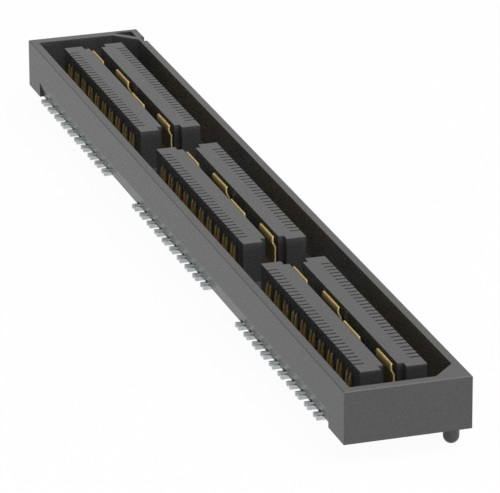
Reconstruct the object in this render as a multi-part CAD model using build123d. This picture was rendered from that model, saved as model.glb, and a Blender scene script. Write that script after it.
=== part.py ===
from build123d import *
import os

# Contact positions
bank_count = 3
positions_per_row = 30
position_pitch = 0.5
pairs_per_row = 10
pairs_per_node = 2

# Housing
body_width = 7.17
body_height = 3.0
standoff = 0.14
floor_thickness = 0.62
side_wall = 0.49
plain_end_wall = 0.54
index_end_wall = 0.75
end_allowance = 1.40
end_block_length = 2.50
wall_taper_height = 0.98
wall_taper_depth = 0.24
rim_chamfer = 0.05

# Polarising corners and index notch
corner_leg = 1.37
pocket_web = 0.42
pocket_end_skin = 0.37
pocket_side_skin = 0.47
index_notch_offset = 1.70
index_notch_length = 0.80
index_notch_depth = 0.26

# Towers, two to a bank
tower_gap = 0.80
tower_width = 1.475
tower_end_margin = 0.88
bank_gap = 3.24
tower_step_length = 0.53
tower_step_width = 0.32
slot_depth = 0.60

# Signal contacts, blanked from flat strip
contact_thickness = 0.20
contact_clearance = 0.01
contact_root_depth = 0.255
contact_root_length = 0.42
beam_width = 0.22
beam_bow = 0.12
beam_bow_height = 0.86
beam_knee = 0.01
beam_knee_height = 1.62
beam_tip_inset = 0.24
beam_tip_drop = 0.36
beam_tip_width = 0.15
foot_reach = 0.17
foot_height = 0.25
foot_length = 0.80
foot_ramp = 0.20
foot_groove_height = 0.26
foot_groove_clearance = 0.10

# Ground strips, one to a bank
strip_thickness = 0.13
strip_end_margin = 0.73
strip_height = 0.71
strip_lift = 0.24
strip_clearance = 0.02
tab_gap = 1.89
inner_tab_length = 2.55
tab_wall_clearance = 0.06
tab_jog_height = 0.35
tab_neck_drop = 0.77
tab_bow_drop = 0.31
tab_bow_offset = 0.135
tab_lip_offset = 0.19
tab_top_drop = 0.07
ground_foot_inset = 0.25

# Locating pegs
peg_radius = 0.445
peg_length = 1.27
peg_end_offset = 1.335
peg_side_offset = 0.685

# Worked out from the sizes above
row_length = positions_per_row * position_pitch
tower_length = row_length + 2 * tower_end_margin
bank_pitch = tower_length + bank_gap
body_length = bank_count * bank_pitch + end_allowance
floor_top = standoff + floor_thickness
body_top = standoff + body_height
cavity_depth = body_height - floor_thickness
cavity_width = body_width - 2 * side_wall
half_length = body_length / 2
half_width = body_width / 2
cavity_plain_end = half_length - plain_end_wall
cavity_index_end = index_end_wall - half_length
tower_inner = tower_gap / 2
tower_outer = tower_inner + tower_width
slot_width = contact_thickness + 2 * contact_clearance
slot_back = tower_outer - slot_depth
root_inner = tower_outer - contact_root_depth
root_outer = root_inner + contact_root_length
positions_per_pair = positions_per_row // pairs_per_row
cut_margin = 1.0

bank_centres = [(bank - (bank_count - 1) / 2) * bank_pitch for bank in range(bank_count)]
position_offsets = [
    (position - (positions_per_row - 1) / 2) * position_pitch for position in range(positions_per_row)
]
sides = {"left": -1, "right": 1}


def pair_offsets(pair):
    """The two positions of a pair along its bank; the third stays empty."""
    first = pair * positions_per_pair
    return position_offsets[first : first + 2]


# Housing
def cavity_outline():
    """Mating cavity seen from above, with its two +Y corners filled across."""
    start, end, y = cavity_index_end, cavity_plain_end, cavity_width / 2
    return Polygon(
        (start, -y),
        (end, -y),
        (end, y - corner_leg),
        (end - corner_leg, y),
        (start + corner_leg, y),
        (start, y - corner_leg),
        align=None,
    )


def pocket_outline():
    """Triangle cored out behind the filled corner at the -X end."""
    corner_x = -half_length + pocket_end_skin
    corner_y = half_width - pocket_side_skin
    reach = (index_end_wall - pocket_end_skin) + (side_wall - pocket_side_skin) + corner_leg
    leg = reach - pocket_web * 2**0.5
    return Polygon((corner_x, corner_y), (corner_x, corner_y - leg), (corner_x + leg, corner_y), align=None)


def wall_ring():
    """The four walls round the cavity, chamfered along the outer rim."""
    outer = extrude(Rectangle(body_length, body_width), cavity_depth)
    rim = chamfer(outer.edges().group_by(Axis.Z)[-1], rim_chamfer)
    cavity = extrude(cavity_outline(), cavity_depth)
    pocket = extrude(pocket_outline(), cavity_depth)
    return Pos(0, 0, floor_top) * (rim - cavity - pocket)


def floor_plate():
    """The floor, pierced for every contact root and every ground strip."""
    openings = []
    for centre in bank_centres:
        openings.append(Pos(centre, 0) * Rectangle(strip_length(), strip_thickness + 2 * strip_clearance))
        for side in sides.values():
            for pair in range(pairs_per_row):
                for offset in pair_offsets(pair):
                    place = Pos(centre + offset, side * (root_inner + root_outer) / 2)
                    openings.append(place * Rectangle(slot_width, contact_root_length))
    plate = Rectangle(body_length, body_width) - openings
    return Pos(0, 0, standoff) * extrude(plate, floor_thickness)


def tower(side):
    """One comb-shaped tower: a slot for every position opens through its outer face."""
    centre = side * (tower_inner + tower_outer) / 2
    comb = Pos(0, centre) * Rectangle(tower_length, tower_width)
    step_y = side * (tower_inner + tower_step_width / 2)
    step_x = (tower_length - tower_step_length) / 2
    comb -= [Pos(end * step_x, step_y) * Rectangle(tower_step_length, tower_step_width) for end in (-1, 1)]
    slot_y = side * (slot_back + tower_outer) / 2
    comb -= [Pos(offset, slot_y) * Rectangle(slot_width, slot_depth) for offset in position_offsets]
    return Pos(0, 0, floor_top) * extrude(comb, cavity_depth)


def wall_taper(side):
    """Wedge taken off the foot of a long wall, between the two end blocks."""
    length = body_length - 2 * end_block_length
    top = standoff + wall_taper_height
    bottom = standoff - cut_margin
    outside = side * (half_width + cut_margin)
    face = Plane.YZ * Polygon(
        (side * half_width, top),
        (side * (half_width - wall_taper_depth), standoff),
        (side * (half_width - wall_taper_depth), bottom),
        (outside, bottom),
        (outside, top),
        align=None,
    )
    return Pos(-length / 2, 0, 0) * extrude(face, length, dir=(1, 0, 0))


def foot_grooves():
    """Grooves under the floor that let each pair of feet out below the long walls."""
    length = half_width + cut_margin - root_outer
    width = position_pitch + contact_thickness + 2 * foot_groove_clearance
    grooves = []
    for centre in bank_centres:
        for side in sides.values():
            for pair in range(pairs_per_row):
                middle = centre + sum(pair_offsets(pair)) / 2
                grooves.append(Pos(middle, side * (root_outer + length / 2)) * Rectangle(width, length))
    return Pos(0, 0, standoff - cut_margin) * extrude(Sketch() + grooves, foot_groove_height + cut_margin)


def index_notch():
    """Upright notch in the outer face of the +Y wall, by the cored corner."""
    place = Pos(
        -half_length + index_notch_offset + index_notch_length / 2,
        half_width - index_notch_depth / 2,
        standoff + body_height / 2,
    )
    return place * Box(index_notch_length, index_notch_depth, body_height)


def peg(end):
    """Peg with a half-round tip that drops into a hole in the board."""
    shaft_length = peg_length - peg_radius
    shaft = Pos(0, 0, -shaft_length / 2) * Cylinder(peg_radius, shaft_length)
    tip = Sphere(peg_radius, arc_size2=0, align=(Align.CENTER, Align.CENTER, Align.MAX))
    place = Pos(end * (half_length - peg_end_offset), half_width - peg_side_offset, standoff)
    return place * (shaft + Pos(0, 0, -shaft_length) * tip)


def housing():
    """The moulded body: floor, walls, six slotted towers and two pegs in one piece."""
    towers = [Pos(centre, 0, 0) * tower(side) for centre in bank_centres for side in sides.values()]
    pegs = [peg(end) for end in (-1, 1)]
    tapers = [wall_taper(side) for side in sides.values()]
    body = floor_plate() + [wall_ring(), *towers, *pegs]
    return body - [*tapers, foot_grooves(), index_notch()]


# Signal contacts
def contact_outline(side):
    """Side view of one contact: solder foot, root in the floor and bowed, tapered beam."""
    toe = half_width + foot_reach
    heel = toe - foot_length
    bow = tower_outer + beam_bow
    bow_height = floor_top + beam_bow_height
    knee = tower_outer + beam_knee
    knee_height = floor_top + beam_knee_height
    tip = body_top - beam_tip_drop
    tip_outer = tower_outer - beam_tip_inset
    points = [
        (toe, 0),
        (toe, foot_height),
        (root_outer, foot_height),
        (root_outer, floor_top),
        (bow, bow_height),
        (knee, knee_height),
        (tip_outer, tip),
        (tip_outer - beam_tip_width, tip),
        (knee - beam_width, knee_height),
        (bow - beam_width, bow_height),
        (root_inner, standoff),
        (heel - foot_ramp, standoff),
        (heel, 0),
    ]
    return Polygon(*[(side * out, up) for out, up in points], align=None)


def contact(side):
    """One contact, as thick as the strip that it is blanked from."""
    return extrude(Plane.YZ * contact_outline(side), contact_thickness / 2, both=True)


# Ground strips
def strip_length():
    """Length of a bank's ground strip."""
    return tower_length - 2 * strip_end_margin


def tab_spans():
    """Where each of the four tabs of a strip starts and ends along the bank."""
    inner_start = tab_gap / 2
    inner_end = inner_start + inner_tab_length
    outer_start = inner_end + tab_gap
    outer_end = strip_length() / 2
    return [
        (-outer_end, -outer_start),
        (-inner_end, -inner_start),
        (inner_start, inner_end),
        (outer_start, outer_end),
    ]


def tab_outline(side):
    """Side view of a tab: a jog off the strip's plane, then a bow back over it and a lip."""
    half = strip_thickness / 2
    neck = tower_inner - tab_wall_clearance - half
    strip_top = strip_lift + strip_height
    path = [
        (0, strip_top - half),
        (0, strip_top),
        (neck, strip_top + tab_jog_height),
        (neck, body_top - tab_neck_drop),
        (tab_bow_offset, body_top - tab_bow_drop),
        (tab_lip_offset, body_top - tab_top_drop),
    ]
    inner = [(side * (out - half), up) for out, up in path]
    outer = [(side * (out + half), up) for out, up in path]
    return Polygon(*inner, *reversed(outer), align=None)


def ground_strip(centre):
    """A bank's ground strip, with tabs that lean left and right by turns."""
    strip = Pos(0, 0, strip_lift + strip_height / 2) * Box(strip_length(), strip_thickness, strip_height)
    for number, (start, end) in enumerate(tab_spans()):
        side = 1 if number % 2 else -1
        strip += Pos(start, 0, 0) * extrude(Plane.YZ * tab_outline(side), end - start, dir=(1, 0, 0))
        foot_size = end - start - 2 * ground_foot_inset
        strip += Pos((start + end) / 2, 0, strip_lift / 2) * Box(foot_size, strip_thickness, strip_lift)
    return Pos(centre, 0, 0) * strip


# Every piece in its own file
def pieces():
    """Each node's name and solids."""
    yield "housing", housing()
    for bank, centre in enumerate(bank_centres, 1):
        yield f"bank{bank}_ground_strip", ground_strip(centre)
        for side_name, side in sides.items():
            blank = contact(side)
            for first in range(0, pairs_per_row, pairs_per_node):
                group = range(first, min(first + pairs_per_node, pairs_per_row))
                offsets = [offset for pair in group for offset in pair_offsets(pair)]
                solids = [Pos(centre + offset, 0, 0) * blank for offset in offsets]
                name = f"bank{bank}_{side_name}_contacts_{first // pairs_per_node + 1}"
                yield name, Compound(children=solids)


os.makedirs("parts", exist_ok=True)
for name, shape in pieces():
    export_step(shape, f"parts/{name}.step")
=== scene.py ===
"""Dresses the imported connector: moulded housing, plated contacts, ground strips, plain studio."""
import math

import bmesh
import bpy
from bpy.props import FloatProperty, FloatVectorProperty, IntProperty, PointerProperty
from mathutils import Matrix, Vector


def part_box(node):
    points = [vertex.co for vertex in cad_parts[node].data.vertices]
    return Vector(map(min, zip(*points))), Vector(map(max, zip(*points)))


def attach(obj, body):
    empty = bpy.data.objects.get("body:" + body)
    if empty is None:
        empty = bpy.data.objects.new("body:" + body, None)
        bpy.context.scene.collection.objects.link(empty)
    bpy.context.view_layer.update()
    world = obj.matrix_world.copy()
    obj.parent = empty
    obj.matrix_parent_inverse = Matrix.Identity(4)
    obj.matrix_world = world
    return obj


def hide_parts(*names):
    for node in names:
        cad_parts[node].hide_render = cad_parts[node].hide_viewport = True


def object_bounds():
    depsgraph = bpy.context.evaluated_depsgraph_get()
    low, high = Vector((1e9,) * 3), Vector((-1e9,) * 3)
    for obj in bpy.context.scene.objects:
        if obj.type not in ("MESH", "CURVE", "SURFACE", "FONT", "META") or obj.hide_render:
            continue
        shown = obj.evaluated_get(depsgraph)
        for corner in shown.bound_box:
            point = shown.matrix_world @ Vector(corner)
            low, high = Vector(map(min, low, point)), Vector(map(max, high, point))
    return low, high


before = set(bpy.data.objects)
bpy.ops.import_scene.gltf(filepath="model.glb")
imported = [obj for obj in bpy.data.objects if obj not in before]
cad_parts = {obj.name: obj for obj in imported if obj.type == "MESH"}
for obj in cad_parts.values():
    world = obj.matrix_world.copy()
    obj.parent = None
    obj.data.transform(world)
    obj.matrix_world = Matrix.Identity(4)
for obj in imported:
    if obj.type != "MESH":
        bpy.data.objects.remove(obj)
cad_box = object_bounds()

bl_info = {
    "name": "Board connector dressing",
    "version": (1, 0, 0),
    "blender": (4, 5, 0),
    "location": "3D View > Sidebar > Connector",
    "description": "Finishes and fine shapes for a three-bank board to board connector",
    "category": "Object",
}

MM = 0.001
ROOT = "root"
HOUSING_NODE = "housing"
CONTACT_NODES = sorted(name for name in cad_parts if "_contacts_" in name)
STRIP_NODES = sorted(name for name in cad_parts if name.endswith("_ground_strip"))
SIDES = {"left": -1.0, "right": 1.0}

# Corners of each outline, in the order in which they are joined
CHEEK_CORNERS = (
    "Rim Back", "Rim Front", "Face Bottom", "Face Inside", "Underside", "Back Bottom",
)
CONTACT_CORNERS = (
    "Toe", "Toe Top", "Root Front", "Floor Front", "Bow Front", "Knee Front", "Tip Front",
    "Tip Back", "Knee Back", "Bow Back", "Root Back", "Ramp", "Heel",
)
TAB_CORNERS = ("Tab Root", "Tab Foot", "Jog", "Neck", "Bow", "Curl", "Lip")
UPPER_TAB_CORNERS = ("Bow", "Curl", "Lip")

# Noise patterns: features to the millimetre, detail, and density along X, Y and Z
FLOW_LINES = {"scale": 0.3, "detail": 2.0, "density": (0.3, 1.0, 1.0)}
FIBRES = {"scale": 11.0, "detail": 2.0, "density": (0.7, 1.0, 1.0)}
GRAIN_DETAIL = 3.0
RAGGED_LINE = {"scale": 6.0, "detail": 2.0}
GOLD_CLOUDS = {"scale": 1.3, "detail": 3.0}
UNDER_CLOUDS = {"scale": 4.0, "detail": 4.0}
ROLLING_LINES = {"scale": 14.0, "detail": 2.0, "density": (0.15, 1.0, 1.0)}

# The values between which most of a noise lies, and those between which nearly all of it does
NOISE_CORE = (0.35, 0.65)
NOISE_WHOLE = (0.2, 0.8)

# How far the patterns change the plastic
FLOW_SHARE = 0.1
FIBRE_SHARE = 0.9
SKIN_SPREAD = 0.04
GRAIN_STRENGTH = 0.6

# How far the patterns change the plated metal
RAGGED_HEIGHT = 0.03 * MM
DEEP_GOLD = (0.86, 0.80, 0.70)
DULL_UNDER = 0.82
PLATE_SPREAD = 0.05
ROLLING_STRENGTH = 0.3
ROLLING_HEIGHT = 0.001 * MM

# Share of a face's normal along the strip from which it starts to get the cut ends' matt finish and
# painted highlight, and at which it fully does
CUT_HIGHLIGHT_FACING = (0.7, 0.9)

# Sockets of a Mix node that mixes colours
MIX_FACTOR, MIX_FIRST, MIX_SECOND, MIX_RESULT = 0, 6, 7, 2

# Turns an outline drawn outwards and up into the YZ plane, with its thickness along X
UPRIGHT = (math.pi / 2, 0.0, math.pi / 2)

WELD_DISTANCE = 0.0005 * MM
BROKEN_EDGE_ANGLE = math.radians(40.0)
CRISP_EDGE_ANGLE = math.radians(32.0)

# The studio: the floor's side in metres, the camera's sensor in millimetres, and the nearest
# and farthest that it sees in view distances
WHITE = (1.0, 1.0, 1.0, 1.0)
FLOOR_SIDE = 3.0
FLOOR_ROUGHNESS = 0.9
SENSOR_WIDTH = 36.0
NEAR_CLIP, FAR_CLIP = 0.1, 40.0


def length(name, description, default_mm):
    """A size that the sidebar shows in the scene's unit of length."""
    return FloatProperty(
        name=name, description=description, default=default_mm * MM,
        subtype="DISTANCE", unit="LENGTH",
    )


def place(name, description, default):
    """A point, in metres."""
    return FloatVectorProperty(
        name=name, description=description, default=default, subtype="XYZ", unit="LENGTH"
    )


def angle(name, description, degrees):
    """An angle that the sidebar shows in degrees."""
    return FloatProperty(
        name=name, description=description, default=math.radians(degrees),
        subtype="ANGLE", unit="ROTATION",
    )


def colour(name, description, default):
    """A linear colour."""
    return FloatVectorProperty(
        name=name, description=description, default=default,
        subtype="COLOR", size=3, min=0.0, max=1.0,
    )


def share(name, description, default):
    """A number from 0 to 1."""
    return FloatProperty(
        name=name, description=description, default=default, min=0.0, max=1.0, subtype="FACTOR"
    )


def strength(name, description, default):
    """How bright a light is."""
    return FloatProperty(name=name, description=description, default=default, min=0.0)


def number_of(name, description, default, least=1):
    """A whole number."""
    return IntProperty(name=name, description=description, default=default, min=least)


# Settings
class HousingSettings(bpy.types.PropertyGroup):
    """The black moulding"""

    body_colour: colour("Body colour", "Colour of the filled plastic", (0.0585, 0.0585, 0.0585))
    skin_colour: colour(
        "Skin colour", "Paler colour where fibres lie close under the skin",
        (0.0757, 0.0757, 0.0752),
    )
    roughness: share("Roughness", "Roughness of the moulded skin", 0.26)
    gloss: share("Gloss", "Strength of the sheen of the moulded skin", 0.40)
    grain: length("Grain", "Height of the fine texture of the mould", 0.003)
    grain_size: length("Grain size", "Size of one grain of that texture", 0.07)
    positions: number_of("Positions", "Slots in one side of a bank", 30)
    slot_width: length("Slot width", "Width of the slots in the towers", 0.22)
    slit_width: length("Slit width", "Width that the two cheeks of a slot leave open", 0.12)
    slot_back: length("Slot back", "Inner end of a slot, from the middle of the housing", 1.275)
    tower_face: length("Tower face", "Outer face of a tower, from the housing's middle", 1.875)
    cheek_bottom: length("Cheek bottom", "Lowest point of the cheeks, at the tower's face", 2.62)
    cheek_flat: length("Cheek flat", "Width of the cheeks' flat at that point", 0.06)
    cheek_step: length("Cheek step", "Height of the cheeks' underside over a contact's tip", 2.81)
    cheek_reach: length("Cheek reach", "Where that underside starts, from the middle", 1.66)


class ContactSettings(bpy.types.PropertyGroup):
    """The 120 signal contacts"""

    pitch: length("Pitch", "Spacing of the contact positions", 0.5)
    positions_per_pair: number_of(
        "Positions per pair", "Positions that a pair takes up, its empty one included", 3, least=2
    )
    pairs: number_of("Pairs", "Pairs in one group", 2)
    foot_length: length("Foot length", "Length of the flat under the solder foot", 0.80)
    foot_height: length("Foot height", "Height of the solder foot", 0.25)
    foot_ramp: length("Foot ramp", "Length of the slope behind the foot", 0.20)
    standoff: length("Standoff", "Height of the housing over the board", 0.14)
    root_front: length("Root front", "Outer face of the root, from the housing's middle", 2.04)
    root_back: length("Root back", "Inner face of the root, from the housing's middle", 1.62)
    floor_top: length("Floor top", "Height of the floor that the root stands in", 0.76)
    beam_width: length("Beam width", "Width of the beam, seen from the side", 0.22)
    bow_front: length("Bow front", "Outermost point of the bow, from the middle", 1.995)
    bow_height: length("Bow height", "Height of that point", 1.62)
    knee_front: length("Knee front", "Outer face at the knee, from the middle", 1.885)
    knee_height: length("Knee height", "Height of the knee", 2.38)
    tip_front: length("Tip front", "Outer corner of the tip, from the middle", 1.635)
    tip_width: length("Tip width", "Width of the tip", 0.15)
    bow_round: length("Bow round", "Radius that the bow is formed to", 0.9)
    corner_round: length("Corner round", "Radius of the blanked corners", 0.015)
    edge_round: length("Edge round", "Width of the edges that the blanking tool broke", 0.006)
    round_steps: number_of("Round steps", "Segments of each rounded corner", 2)
    gold_colour: colour("Gold colour", "Colour of the gold plate", (0.86, 0.64, 0.24))
    tin_colour: colour("Tin colour", "Colour of the tinned feet", (0.69, 0.725, 0.735))
    gold_roughness: share("Gold roughness", "Roughness of the gold plate", 0.55)
    tin_roughness: share("Tin roughness", "Roughness of the tinned feet", 0.34)
    plating_line: length("Plating line", "Height at which tin gives way to gold", 0.6)
    plating_fade: length("Plating fade", "Half the height over which it gives way", 0.02)
    metallic: share("Metallic", "Share of clear reflection in the plating", 1.0)


class StripSettings(bpy.types.PropertyGroup):
    """The three ground strips"""

    sheet: length("Sheet", "Thickness of the sheet that the strip is stamped from", 0.135)
    foot_inset: length("Foot inset", "How far a foot stops short of its tab's ends", 0.25)
    plate_bottom: length("Plate bottom", "Height of the plate's lower edge", 0.24)
    plate_top: length("Plate top", "Height of the plate's upper edge", 0.95)
    tab_gap: length("Tab gap", "Gap between two tabs", 1.89)
    inner_tab: length("Inner tab", "Length of the two tabs in the middle", 2.55)
    neck_offset: length("Neck offset", "How far the neck stands off the plate", 0.275)
    jog_height: length("Jog height", "Height that the tab takes to reach its neck", 0.35)
    neck_top: length("Neck top", "Height at which the neck ends", 2.44)
    bow_offset: length("Bow offset", "How far the bow stands off the plate", 0.155)
    bow_height: length("Bow height", "Height of the bow", 2.74)
    curl_offset: length("Curl offset", "Offset of the point where the lip curls out", 0.157)
    curl_height: length("Curl height", "Height of that point", 2.96)
    lip_offset: length("Lip offset", "Offset of the tab's upper edge", 0.190)
    lip_height: length("Lip height", "Height of the tab's upper edge", 3.07)
    upper_shift: length("Upper shift", "How far the tabs' upper ends stand towards -Y", 0.040)
    bend_round: length("Bend round", "Radius that the tab is bent to", 0.16)
    round_steps: number_of("Round steps", "Segments of each bend", 3)
    edge_round: length("Edge round", "Width of the broken edges", 0.030)
    gold_colour: colour("Gold colour", "Colour of the gold plate", (0.63, 0.49, 0.22))
    # The cut colour is brighter than the gold: a painted highlight on the matt cut ends.
    cut_highlight_colour: colour("Cut colour", "Colour of the tabs' matt cut ends", (1.0, 0.75, 0.27))
    # The nickel colour is dark and dull: besides the nickel under the gold, it paints the shade
    # that falls deep between the towers on the tabs' lower parts.
    nickel_and_shade_colour: colour("Under colour", "Colour of the nickel under the gold", (0.43, 0.38, 0.235))
    roughness: share("Roughness", "Roughness of both platings", 0.60)
    # Below this line the tabs take the darker nickel colour, which is painted shade, fading in over
    # the plating fade.
    plating_line: length("Plating line", "Height down to which the tabs are gold plated", 2.72)
    plating_fade: length("Plating fade", "Half the height over which the gold fades", 0.12)


class StudioSettings(bpy.types.PropertyGroup):
    """Floor, light and camera"""

    floor_colour: colour("Floor colour", "Colour of the floor", (0.92, 0.92, 0.92))
    floor_lift: share("Floor lift", "Share of plain white that the eye sees in the floor", 0.96)
    mirrored_level: share(
        "Mirrored level", "How bright the surroundings look in glossy surfaces", 0.70
    )
    sky_strength: strength("Sky strength", "Light from all round", 0.38)
    softbox_strength: strength("Softbox strength", "Radiance of the softbox", 2.6)
    softbox_place: place("Softbox place", "Middle of the softbox", (0.15, 0.10, 0.375))
    softbox_size: length("Softbox size", "Side of the square softbox", 395.0)
    fill_strength: strength("Fill strength", "Radiance of the fill light", 16.0)
    fill_place: place("Fill place", "Middle of the fill light", (0.50, 0.04, 0.02))
    fill_width: length("Fill width", "Width of the fill light", 300.0)
    fill_height: length("Fill height", "Height of the fill light", 60.0)
    view_azimuth: angle("View azimuth", "Where the camera stands, from -Y towards +X", 72.07)
    view_elevation: angle("View elevation", "Camera's angle above the horizon", 20.87)
    view_roll: angle("View roll", "Tilt of the picture about the line of sight", -0.234)
    view_distance: length("View distance", "From the camera to what it looks at", 269.66)
    view_target: place(
        "View target", "The point that the camera looks at",
        (5.124 * MM, -0.418 * MM, 1.64 * MM),
    )
    focal_length: FloatProperty(
        name="Focal length", default=339.37, unit="CAMERA",
        description=f"In millimetres, on a sensor {SENSOR_WIDTH:.0f} mm wide",
    )


SETTINGS = {
    "connector_housing": HousingSettings,
    "connector_contacts": ContactSettings,
    "connector_strips": StripSettings,
    "connector_studio": StudioSettings,
}


# Node helpers
def node(tree, kind, inputs=None, **settings):
    """Adds a node; an input given as a socket is linked, and any other value is set on it."""
    made = tree.nodes.new(kind)
    for name, value in settings.items():
        setattr(made, name, value)
    for name, value in (inputs or {}).items():
        socket = made.inputs[name]
        if isinstance(value, bpy.types.NodeSocket):
            tree.links.new(value, socket)
        else:
            socket.default_value = value
    return made


def calculate(tree, operation, first, second=0.0):
    """What an operation gives for one or two numbers or sockets."""
    return node(tree, "ShaderNodeMath", {0: first, 1: second}, operation=operation).outputs[0]


def texture_coordinates(tree, density):
    """Object coordinates in millimetres, times a density for each axis."""
    coordinates = node(tree, "ShaderNodeTexCoord").outputs["Object"]
    scale = tuple(factor / MM for factor in density)
    mapping = node(tree, "ShaderNodeMapping", {"Vector": coordinates, "Scale": scale})
    return mapping.outputs["Vector"]


def noise(tree, scale, detail, density=(1.0, 1.0, 1.0)):
    """Noise with so many features to the millimetre."""
    vector = texture_coordinates(tree, density)
    values = {"Vector": vector, "Scale": scale, "Detail": detail}
    return node(tree, "ShaderNodeTexNoise", values).outputs["Fac"]


def ranged(tree, value, low=0.0, high=1.0, within=NOISE_CORE):
    """value mapped from the range that it is within to low..high."""
    limits = {
        "Value": value, "From Min": within[0], "From Max": within[1],
        "To Min": low, "To Max": high,
    }
    return node(tree, "ShaderNodeMapRange", limits).outputs["Result"]


def mix_colour(tree, factor, first, second):
    """first where factor is 0 and second where it is 1."""
    made = node(tree, "ShaderNodeMix", data_type="RGBA")
    tree.links.new(factor, made.inputs[MIX_FACTOR])
    for index, value in ((MIX_FIRST, first), (MIX_SECOND, second)):
        if isinstance(value, bpy.types.NodeSocket):
            tree.links.new(value, made.inputs[index])
        else:
            made.inputs[index].default_value = (*value, 1.0)
    return made.outputs[MIX_RESULT]


def new_material(name):
    """An empty material with a surface shader."""
    material = bpy.data.materials.new(name)
    material.use_nodes = True
    tree = material.node_tree
    tree.nodes.clear()
    shader = node(tree, "ShaderNodeBsdfPrincipled")
    output = node(tree, "ShaderNodeOutputMaterial")
    tree.links.new(shader.outputs["BSDF"], output.inputs["Surface"])
    return material, tree, shader


def feed(tree, shader, sockets):
    """Links sockets to the shader's inputs by name."""
    for name, socket in sockets.items():
        tree.links.new(socket, shader.inputs[name])


# Finishes
def moulded_plastic(settings):
    """Black filled plastic: a fine even grain, pale fibres and faint lengthwise flow lines."""
    material, tree, shader = new_material("moulded_plastic")
    flow = noise(tree, **FLOW_LINES)
    fibres = noise(tree, **FIBRES)
    flow_part = ranged(tree, flow, high=FLOW_SHARE)
    fibre_part = ranged(tree, fibres, high=FIBRE_SHARE, within=NOISE_WHOLE)
    mottle = calculate(tree, "ADD", flow_part, fibre_part)
    skin = mix_colour(tree, mottle, tuple(settings.body_colour), tuple(settings.skin_colour))
    grain = noise(tree, MM / settings.grain_size, GRAIN_DETAIL)
    relief = {"Height": grain, "Strength": GRAIN_STRENGTH, "Distance": settings.grain}
    smooth, rough = settings.roughness - SKIN_SPREAD, settings.roughness + SKIN_SPREAD
    feed(tree, shader, {
        "Base Color": skin,
        "Roughness": ranged(tree, fibres, smooth, rough),
        "Normal": node(tree, "ShaderNodeBump", relief).outputs["Normal"],
    })
    shader.inputs["Specular IOR Level"].default_value = settings.gloss
    return material


def plated_metal(name, gold, gold_roughness, under, under_roughness, plating_line, fade):
    """Rolled sheet under gold plate, with another metal below the plating line."""
    material, tree, shader = new_material(name)
    coordinates = node(tree, "ShaderNodeTexCoord").outputs["Object"]
    height = node(tree, "ShaderNodeSeparateXYZ", {0: coordinates}).outputs["Z"]
    ragged = ranged(tree, noise(tree, **RAGGED_LINE), -RAGGED_HEIGHT, RAGGED_HEIGHT)
    edge = calculate(tree, "ADD", height, ragged)
    plated = ranged(tree, edge, within=(plating_line - fade, plating_line + fade))
    deep = tuple(value * factor for value, factor in zip(gold, DEEP_GOLD))
    dull = tuple(value * DULL_UNDER for value in under)
    gold_tone = mix_colour(tree, ranged(tree, noise(tree, **GOLD_CLOUDS)), deep, gold)
    under_tone = mix_colour(tree, ranged(tree, noise(tree, **UNDER_CLOUDS)), dull, under)
    rolling = noise(tree, **ROLLING_LINES)
    spread = ranged(tree, rolling, -PLATE_SPREAD, PLATE_SPREAD)
    roughness = ranged(tree, plated, under_roughness, gold_roughness, within=(0.0, 1.0))
    relief = {"Height": rolling, "Strength": ROLLING_STRENGTH, "Distance": ROLLING_HEIGHT}
    feed(tree, shader, {
        "Base Color": mix_colour(tree, plated, under_tone, gold_tone),
        "Roughness": calculate(tree, "ADD", roughness, spread),
        "Normal": node(tree, "ShaderNodeBump", relief).outputs["Normal"],
    })
    return material, tree, shader


def contact_metal(settings):
    """Gold beams over tinned feet."""
    material, _, shader = plated_metal(
        "plated_contact", tuple(settings.gold_colour), settings.gold_roughness,
        tuple(settings.tin_colour), settings.tin_roughness,
        settings.plating_line, settings.plating_fade,
    )
    shader.inputs["Metallic"].default_value = settings.metallic
    return material


def strip_metal(settings):
    """Gold over nickel, with matt cut ends that carry a painted highlight in a brighter colour; the
    darker nickel is also painted shade.
    """
    # Below the plating line the strip gets the darker nickel colour, which also paints the shade
    # deep between the towers.
    material, tree, shader = plated_metal(
        "plated_strip", tuple(settings.gold_colour), settings.roughness,
        tuple(settings.nickel_and_shade_colour), settings.roughness,
        settings.plating_line, settings.plating_fade,
    )
    # Faces that look along the strip are the matt cut ends: they lose the metallic sheen and get
    # the brighter cut colour, a painted highlight.
    facing = node(tree, "ShaderNodeTexCoord").outputs["Normal"]
    along = node(tree, "ShaderNodeSeparateXYZ", {0: facing}).outputs["X"]
    cut = ranged(tree, calculate(tree, "ABSOLUTE", along), within=CUT_HIGHLIGHT_FACING)
    plated = shader.inputs["Base Color"].links[0].from_socket
    feed(tree, shader, {
        "Base Color": mix_colour(tree, cut, plated, tuple(settings.cut_highlight_colour)),
        "Metallic": calculate(tree, "SUBTRACT", 1.0, cut),
    })
    return material


def surroundings(tree, settings):
    """Whether the eye or a mirroring surface looks at this, and how bright white is to them."""
    path = node(tree, "ShaderNodeLightPath").outputs
    seen = path["Is Camera Ray"]
    mirrored = calculate(tree, "MAXIMUM", path["Is Glossy Ray"], path["Is Transmission Ray"])
    level = calculate(tree, "MULTIPLY", mirrored, settings.mirrored_level)
    return seen, mirrored, calculate(tree, "MAXIMUM", seen, level)


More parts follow.
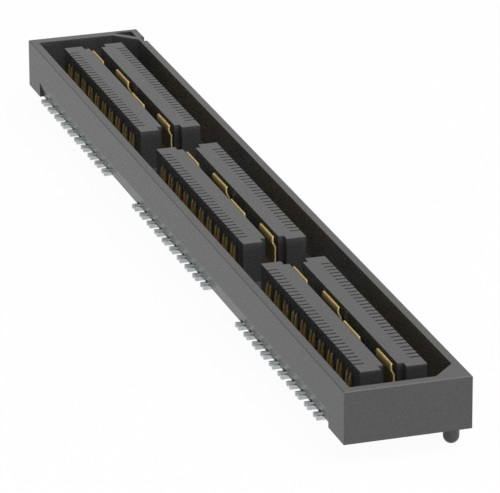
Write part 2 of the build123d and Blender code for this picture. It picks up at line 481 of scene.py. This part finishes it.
def studio_floor(settings):
    """Pale floor that takes the object's shadow and shows near white."""
    material, tree, shader = new_material("studio_floor")
    shader.inputs["Base Color"].default_value = (*settings.floor_colour, 1.0)
    shader.inputs["Roughness"].default_value = FLOOR_ROUGHNESS
    shader.inputs["Specular IOR Level"].default_value = 0.0
    seen, mirrored, white = surroundings(tree, settings)
    lifted = calculate(tree, "MULTIPLY", seen, settings.floor_lift)
    lift = calculate(tree, "MAXIMUM", lifted, mirrored)
    plain = node(tree, "ShaderNodeEmission", {"Color": WHITE, "Strength": white})
    layers = {0: lift, 1: shader.outputs["BSDF"], 2: plain.outputs["Emission"]}
    mixed = node(tree, "ShaderNodeMixShader", layers)
    output = next(found for found in tree.nodes if found.type == "OUTPUT_MATERIAL")
    tree.links.new(mixed.outputs["Shader"], output.inputs["Surface"])
    return material


# Geometry node trees
def new_group(name, sizes):
    """A geometry tree and the input sockets that it gets for its sizes, by name."""
    tree = bpy.data.node_groups.new(name, "GeometryNodeTree")
    tree.interface.new_socket("Geometry", in_out="OUTPUT", socket_type="NodeSocketGeometry")
    for label, kind in sizes.items():
        tree.interface.new_socket(label, in_out="INPUT", socket_type=kind)
    return tree, node(tree, "NodeGroupInput").outputs


def corner_sizes(corners):
    """The inputs that place and round each corner."""
    places = {corner: "NodeSocketVector" for corner in corners}
    rounds = {f"{corner} Round": "NodeSocketFloat" for corner in corners}
    return places | rounds


def switch(tree, data_type, index, values):
    """The value whose number is index."""
    made = node(tree, "GeometryNodeIndexSwitch", data_type=data_type)
    while len(made.index_switch_items) < len(values):
        made.index_switch_items.new()
    tree.links.new(index, made.inputs["Index"])
    for socket, value in zip(made.inputs[1:], values):
        tree.links.new(value, socket)
    return made.outputs[0]


def polyline(tree, sockets, corners, closed):
    """A poly curve through the corners, each rounded by its own radius."""
    line = node(tree, "GeometryNodeMeshLine", {"Count": len(corners)}).outputs["Mesh"]
    index = node(tree, "GeometryNodeInputIndex").outputs[0]
    places = switch(tree, "VECTOR", index, [sockets[corner] for corner in corners])
    radii = switch(tree, "FLOAT", index, [sockets[f"{corner} Round"] for corner in corners])
    moved = {"Geometry": line, "Position": places}
    placed = node(tree, "GeometryNodeSetPosition", moved).outputs["Geometry"]
    curve = node(tree, "GeometryNodeMeshToCurve", {"Mesh": placed}).outputs["Curve"]
    if closed:
        cyclic = {"Geometry": curve, "Cyclic": True}
        curve = node(tree, "GeometryNodeSetSplineCyclic", cyclic).outputs["Geometry"]
    rounding = {
        "Curve": curve, "Radius": radii, "Limit Radius": True, "Count": sockets["Round Steps"],
    }
    return node(tree, "GeometryNodeFilletCurve", rounding, mode="POLY").outputs["Curve"]


def thicken(tree, surface, offset):
    """A closed solid between a surface and its copy moved along by offset."""
    raised = {"Mesh": surface, "Offset Scale": offset, "Individual": False}
    front = node(tree, "GeometryNodeExtrudeMesh", raised).outputs["Mesh"]
    back = node(tree, "GeometryNodeFlipFaces", {"Mesh": surface}).outputs["Mesh"]
    joined = node(tree, "GeometryNodeJoinGeometry")
    for part in (front, back):
        tree.links.new(part, joined.inputs["Geometry"])
    welded = {"Geometry": joined.outputs["Geometry"], "Distance": WELD_DISTANCE}
    return node(tree, "GeometryNodeMergeByDistance", welded).outputs["Geometry"]


def transformed(tree, geometry, **change):
    """A geometry turned by a Rotation or moved by a Translation."""
    return node(tree, "GeometryNodeTransform", {"Geometry": geometry, **change}).outputs["Geometry"]


def row_of(tree, geometry, count, step):
    """count copies of a geometry along a line."""
    line = node(tree, "GeometryNodeMeshLine", {"Count": count, "Offset": step}).outputs["Mesh"]
    placed = {"Points": line, "Instance": geometry}
    return node(tree, "GeometryNodeInstanceOnPoints", placed).outputs["Instances"]


def close_tree(tree, geometry, finish):
    """Ends a tree in plain geometry with its finish."""
    real = node(tree, "GeometryNodeRealizeInstances", {"Geometry": geometry}).outputs["Geometry"]
    faced = node(tree, "GeometryNodeSetMaterial", {"Geometry": real, "Material": finish})
    output = node(tree, "NodeGroupOutput")
    tree.links.new(faced.outputs["Geometry"], output.inputs["Geometry"])


def blank_pairs_tree(name, corners):
    """A row of pairs of flat blanks of one outline, standing on a line along X."""
    tree, sockets = new_group(name, corner_sizes(corners) | {
        "Round Steps": "NodeSocketInt", "Thickness": "NodeSocketFloat",
        "Start": "NodeSocketVector", "Step": "NodeSocketVector",
        "Pairs": "NodeSocketInt", "Pair Step": "NodeSocketVector",
        "Finish": "NodeSocketMaterial",
    })
    outline = polyline(tree, sockets, corners, closed=True)
    face = node(tree, "GeometryNodeFillCurve", {"Curve": outline}, mode="NGONS").outputs["Mesh"]
    blank = thicken(tree, face, sockets["Thickness"])
    standing = transformed(tree, blank, Rotation=UPRIGHT)
    pair = row_of(tree, standing, 2, sockets["Step"])
    pairs = row_of(tree, pair, sockets["Pairs"], sockets["Pair Step"])
    placed = transformed(tree, pairs, Translation=sockets["Start"])
    close_tree(tree, placed, sockets["Finish"])
    return tree


def tab_tree():
    """One bent tab of sheet, standing along X."""
    tree, sockets = new_group("ground_tab", corner_sizes(TAB_CORNERS) | {
        "Round Steps": "NodeSocketInt", "Sheet": "NodeSocketFloat",
        "Length": "NodeSocketFloat", "Start": "NodeSocketVector",
        "Finish": "NodeSocketMaterial",
    })
    path = polyline(tree, sockets, TAB_CORNERS, closed=False)
    line = node(tree, "GeometryNodeCurveToMesh", {"Curve": path}).outputs["Mesh"]
    along = node(tree, "ShaderNodeCombineXYZ", {"Z": sockets["Length"]}).outputs["Vector"]
    drawn = {"Mesh": line, "Offset": along}
    sheet = node(tree, "GeometryNodeExtrudeMesh", drawn, mode="EDGES").outputs["Mesh"]
    tab = thicken(tree, sheet, sockets["Sheet"])
    standing = transformed(tree, tab, Rotation=UPRIGHT)
    placed = transformed(tree, standing, Translation=sockets["Start"])
    close_tree(tree, placed, sockets["Finish"])
    return tree


# Meshes
def new_object(name, data):
    """An object in the scene, at the origin."""
    made = bpy.data.objects.new(name, data)
    bpy.context.collection.objects.link(made)
    return made


def corner_places(outline, side, shift=0.0):
    """Where the corners of an outline, given as outwards and up, lie on one side."""
    return {corner: (side * out + shift, up, 0.0) for corner, (out, up) in outline.items()}


def build_from(tree, name, values, edge_round=0.0):
    """Runs a geometry tree on a new object and keeps the result as a plain mesh."""
    carrier = new_object(name, bpy.data.meshes.new(f"{name}_carrier"))
    modifier = carrier.modifiers.new("Build", "NODES")
    modifier.node_group = tree
    for item in tree.interface.items_tree:
        if item.in_out == "INPUT":
            modifier[item.identifier] = values[item.name]
    if edge_round:
        add_edge_round(carrier, edge_round)
    mesh = evaluated_mesh(carrier)
    carrier.modifiers.clear()
    carrier.data = mesh
    mesh.name = name
    return carrier


def add_edge_round(piece, width):
    """Breaks every sharp edge of a piece by a small flat."""
    modifier = piece.modifiers.new("Edge round", "BEVEL")
    modifier.width = width
    modifier.segments = 1
    modifier.limit_method = "ANGLE"
    modifier.angle_limit = BROKEN_EDGE_ANGLE


def evaluated_mesh(piece):
    """A plain mesh of the piece as its modifiers leave it."""
    bpy.context.view_layer.update()
    graph = bpy.context.evaluated_depsgraph_get()
    return bpy.data.meshes.new_from_object(piece.evaluated_get(graph), depsgraph=graph)


def join_pieces(name, pieces):
    """One object out of several, with its place in its mesh."""
    joined = bmesh.new()
    for piece in pieces:
        joined.from_mesh(piece.data)
        bpy.data.objects.remove(piece)
    data = bpy.data.meshes.new(name)
    joined.to_mesh(data)
    joined.free()
    return new_object(name, data)


def finish_piece(piece, material, slot, *nodes):
    """Gives a piece its finish, its body and the nodes that it stands for."""
    mesh = piece.data
    mesh.materials.clear()
    mesh.materials.append(material)
    mesh.shade_smooth()
    mesh.set_sharp_from_angle(angle=CRISP_EDGE_ANGLE)
    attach(piece, ROOT)
    if nodes:
        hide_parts(*nodes)


def length_along(name):
    """The middle and the half of a strip's length, along X."""
    low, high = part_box(name)
    return (low.x + high.x) / 2, (high.x - low.x) / 2


# Operators
class CONNECTOR_OT_housing(bpy.types.Operator):
    """Gives the moulded housing its finish and narrows its slots"""

    bl_idname = "connector.housing"
    bl_label = "Dress housing"

    def execute(self, context):
        """Puts the moulded plastic on the housing and builds the cheeks of its slots."""
        settings = context.scene.connector_housing
        plastic = moulded_plastic(settings)
        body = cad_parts[HOUSING_NODE]
        body.data.materials.clear()
        body.data.materials.append(plastic)
        tree = blank_pairs_tree("slot_cheeks", CHEEK_CORNERS)
        pitch = context.scene.connector_contacts.pitch
        for name in STRIP_NODES:
            bank = name.split("_")[0]
            centre, _ = length_along(name)
            for side_name, side in SIDES.items():
                values = cheek_values(settings, pitch, centre, side, plastic)
                piece = build_from(tree, f"{bank}_{side_name}_slot_cheeks", values)
                finish_piece(piece, plastic, "housing_plastic")
        return {"FINISHED"}


def cheek_values(settings, pitch, centre, side, plastic):
    """The cheek tree's inputs for one side of a bank."""
    top = cad_box[1].z
    outline = {
        "Rim Back": (settings.slot_back, top),
        "Rim Front": (settings.tower_face, top),
        "Face Bottom": (settings.tower_face, settings.cheek_bottom),
        "Face Inside": (settings.tower_face - settings.cheek_flat, settings.cheek_bottom),
        "Underside": (settings.cheek_reach, settings.cheek_step),
        "Back Bottom": (settings.slot_back, settings.cheek_step),
    }
    width = (settings.slot_width - settings.slit_width) / 2
    first = centre - pitch * (settings.positions - 1) / 2 - settings.slot_width / 2
    values = corner_places(outline, side)
    values.update({f"{corner} Round": 0.0 for corner in CHEEK_CORNERS})
    values.update({
        "Round Steps": 1, "Thickness": width,
        "Start": (first, 0.0, 0.0), "Step": (settings.slot_width - width, 0.0, 0.0),
        "Pairs": settings.positions, "Pair Step": (pitch, 0.0, 0.0),
        "Finish": plastic,
    })
    return values


class CONNECTOR_OT_contacts(bpy.types.Operator):
    """Builds the plated contacts, two pairs to a piece"""

    bl_idname = "connector.contacts"
    bl_label = "Build contacts"

    def execute(self, context):
        """Builds each group of contacts where its node is."""
        settings = context.scene.connector_contacts
        if not CONTACT_NODES:
            raise RuntimeError("The frame holds no contacts")
        tree = blank_pairs_tree("contact_pairs", CONTACT_CORNERS)
        metal = contact_metal(settings)
        for name in CONTACT_NODES:
            values = contact_values(settings, name, metal)
            piece = build_from(tree, f"{name}_formed", values, settings.edge_round)
            finish_piece(piece, metal, "gold_plated_contact", name)
        return {"FINISHED"}


def contact_values(settings, name, metal):
    """The contact tree's inputs for one group, from the box of its node."""
    low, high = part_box(name)
    side = 1.0 if high.y > -low.y else -1.0
    toe = max(high.y, -low.y)
    heel = toe - settings.foot_length
    beam = settings.beam_width
    pair_positions = settings.positions_per_pair
    steps = pair_positions * (settings.pairs - 1) + 1
    thickness = (high.x - low.x) - settings.pitch * steps
    outline = {
        "Toe": (toe, low.z),
        "Toe Top": (toe, settings.foot_height),
        "Root Front": (settings.root_front, settings.foot_height),
        "Floor Front": (settings.root_front, settings.floor_top),
        "Bow Front": (settings.bow_front, settings.bow_height),
        "Knee Front": (settings.knee_front, settings.knee_height),
        "Tip Front": (settings.tip_front, high.z),
        "Tip Back": (settings.tip_front - settings.tip_width, high.z),
        "Knee Back": (settings.knee_front - beam, settings.knee_height),
        "Bow Back": (settings.bow_front - beam, settings.bow_height),
        "Root Back": (settings.root_back, settings.standoff),
        "Ramp": (heel - settings.foot_ramp, settings.standoff),
        "Heel": (heel, low.z),
    }
    values = corner_places(outline, side)
    for corner in CONTACT_CORNERS:
        formed = corner.startswith(("Bow", "Knee"))
        values[f"{corner} Round"] = settings.bow_round if formed else settings.corner_round
    values.update({
        "Round Steps": settings.round_steps, "Thickness": thickness,
        "Start": (low.x, 0.0, 0.0), "Step": (settings.pitch, 0.0, 0.0),
        "Pairs": settings.pairs, "Pair Step": (settings.pitch * pair_positions, 0.0, 0.0),
        "Finish": metal,
    })
    return values


class CONNECTOR_OT_strips(bpy.types.Operator):
    """Builds the bent ground strips, one to a bank"""

    bl_idname = "connector.strips"
    bl_label = "Build ground strips"

    def execute(self, context):
        """Builds each ground strip where its node is."""
        settings = context.scene.connector_strips
        if not STRIP_NODES:
            raise RuntimeError("The frame holds no ground strips")
        metal = strip_metal(settings)
        tree = tab_tree()
        for name in STRIP_NODES:
            piece = ground_strip(settings, tree, name, metal)
            finish_piece(piece, metal, "gold_plated_strip", name)
        return {"FINISHED"}


def ground_strip(settings, tree, name, metal):
    """One strip: its plate and feet, and four tabs that lean left and right by turns."""
    centre, half_length = length_along(name)
    pieces = [plate(settings, name)]
    for number, (start, end) in enumerate(tab_spans(settings, half_length)):
        side = SIDES["right"] if number % 2 else SIDES["left"]
        values = tab_values(settings, centre + start, end - start, side, metal)
        pieces.append(build_from(tree, f"{name}_tab_{number + 1}", values, settings.edge_round))
    return join_pieces(f"{name}_formed", pieces)


def tab_spans(settings, half_length):
    """Where each tab starts and ends, from the middle of the strip."""
    inner_start = settings.tab_gap / 2
    inner_end = inner_start + settings.inner_tab
    outer_start = inner_end + settings.tab_gap
    return [
        (-half_length, -outer_start), (-inner_end, -inner_start),
        (inner_start, inner_end), (outer_start, half_length),
    ]


def tab_values(settings, start, tab_length, side, metal):
    """The tab tree's inputs for one tab."""
    path = {
        "Tab Root": (0.0, settings.plate_top - settings.sheet),
        "Tab Foot": (0.0, settings.plate_top),
        "Jog": (settings.neck_offset, settings.plate_top + settings.jog_height),
        "Neck": (settings.neck_offset, settings.neck_top),
        "Bow": (settings.bow_offset, settings.bow_height),
        "Curl": (settings.curl_offset, settings.curl_height),
        "Lip": (settings.lip_offset, settings.lip_height),
    }
    values = corner_places(path, side, settings.sheet / 2)
    for corner in UPPER_TAB_CORNERS:
        across, up, _ = values[corner]
        values[corner] = (across - settings.upper_shift, up, 0.0)
    values.update({f"{corner} Round": settings.bend_round for corner in TAB_CORNERS})
    values.update({
        "Round Steps": settings.round_steps, "Sheet": settings.sheet,
        "Length": tab_length, "Start": (start, 0.0, 0.0), "Finish": metal,
    })
    return values


def plate(settings, name):
    """The flat plate of a strip, with a foot under each tab."""
    centre, half_length = length_along(name)
    foot_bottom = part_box(name)[0].z
    blocks = [(-half_length, half_length, settings.plate_bottom, settings.plate_top)]
    for start, end in tab_spans(settings, half_length):
        foot_start, foot_end = start + settings.foot_inset, end - settings.foot_inset
        blocks.append((foot_start, foot_end, foot_bottom, settings.plate_bottom))
    mesh = bmesh.new()
    for start, end, bottom, top in blocks:
        size = Matrix.Diagonal((end - start, settings.sheet, top - bottom, 1.0))
        middle = Matrix.Translation((centre + (start + end) / 2, 0.0, (bottom + top) / 2))
        bmesh.ops.create_cube(mesh, size=1.0, matrix=middle @ size)
    data = bpy.data.meshes.new(f"{name}_plate")
    mesh.to_mesh(data)
    mesh.free()
    return new_object(f"{name}_plate", data)


class CONNECTOR_OT_studio(bpy.types.Operator):
    """Sets the floor, the light and the camera"""

    bl_idname = "connector.studio"
    bl_label = "Set studio"

    def execute(self, context):
        """Makes the stage round the object."""
        settings = context.scene.connector_studio
        lay_floor(settings)
        set_light(context.scene, settings)
        set_camera(context.scene, settings)
        context.scene.view_settings.view_transform = "Standard"
        return {"FINISHED"}


def lay_floor(settings):
    """A wide floor under the lowest point of the object."""
    lowest = (0.0, 0.0, cad_box[0].z)
    bpy.ops.mesh.primitive_plane_add(size=FLOOR_SIDE, location=lowest)
    floor = bpy.context.object
    floor.name = "floor"
    floor.data.materials.append(studio_floor(settings))


def set_light(scene, settings):
    """Light from all round, a wide softbox over the near end and a low fill light before it."""
    world = bpy.data.worlds.new("studio")
    world.use_nodes = True
    tree = world.node_tree
    background = tree.nodes["Background"]
    background.inputs["Color"].default_value = WHITE
    _, _, white = surroundings(tree, settings)
    brightness = calculate(tree, "MAXIMUM", white, settings.sky_strength)
    tree.links.new(brightness, background.inputs["Strength"])
    scene.world = world
    softbox = (settings.softbox_size, settings.softbox_size)
    hang_light("softbox", settings.softbox_place, softbox, settings.softbox_strength)
    fill = (settings.fill_width, settings.fill_height)
    hang_light("fill", settings.fill_place, fill, settings.fill_strength)


def hang_light(name, middle, sides, radiance):
    """A flat light of the given sides that faces the object."""
    lamp = bpy.data.lights.new(name, "AREA")
    lamp.shape = "RECTANGLE"
    lamp.size, lamp.size_y = sides
    lamp.energy = radiance * math.pi * sides[0] * sides[1]
    point = Vector(middle)
    turn = point.to_track_quat("Z", "Y").to_matrix().to_4x4()
    new_object(name, lamp).matrix_world = Matrix.Translation(point) @ turn


def set_camera(scene, settings):
    """The camera at the photograph's angle."""
    azimuth, elevation = settings.view_azimuth, settings.view_elevation
    back = Vector((
        math.sin(azimuth) * math.cos(elevation),
        -math.cos(azimuth) * math.cos(elevation),
        math.sin(elevation),
    ))
    data = bpy.data.cameras.new("camera")
    data.sensor_width = SENSOR_WIDTH
    data.lens = settings.focal_length
    data.clip_start = settings.view_distance * NEAR_CLIP
    data.clip_end = settings.view_distance * FAR_CLIP
    camera = new_object("camera", data)
    turn = (-back).to_track_quat("-Z", "Y").to_matrix().to_4x4()
    stand = Matrix.Translation(Vector(settings.view_target) + back * settings.view_distance)
    camera.matrix_world = stand @ turn @ Matrix.Rotation(settings.view_roll, 4, "Z")
    scene.camera = camera


class CONNECTOR_PT_dressing(bpy.types.Panel):
    """Lists the settings and steps"""

    bl_label = "Connector"
    bl_idname = "CONNECTOR_PT_dressing"
    bl_space_type = "VIEW_3D"
    bl_region_type = "UI"
    bl_category = "Connector"

    def draw(self, context):
        """Each step's button, over the sizes and colours that it uses."""
        for group, step in zip(SETTINGS, STEPS):
            box = self.layout.box()
            box.operator(step.bl_idname)
            settings = getattr(context.scene, group)
            for field in SETTINGS[group].__annotations__:
                box.prop(settings, field)


STEPS = (
    CONNECTOR_OT_housing, CONNECTOR_OT_contacts, CONNECTOR_OT_strips, CONNECTOR_OT_studio,
)
CLASSES = (*SETTINGS.values(), *STEPS, CONNECTOR_PT_dressing)


def register():
    """Registers the classes and hangs the settings on the scene."""
    for each in CLASSES:
        bpy.utils.register_class(each)
    for group, settings in SETTINGS.items():
        setattr(bpy.types.Scene, group, PointerProperty(type=settings))


def unregister():
    """Takes away what register added."""
    for group in SETTINGS:
        delattr(bpy.types.Scene, group)
    for each in reversed(CLASSES):
        bpy.utils.unregister_class(each)


def main():
    """Runs every step."""
    register()
    bpy.ops.connector.housing()
    bpy.ops.connector.contacts()
    bpy.ops.connector.strips()
    bpy.ops.connector.studio()


if __name__ == "__main__":
    main()
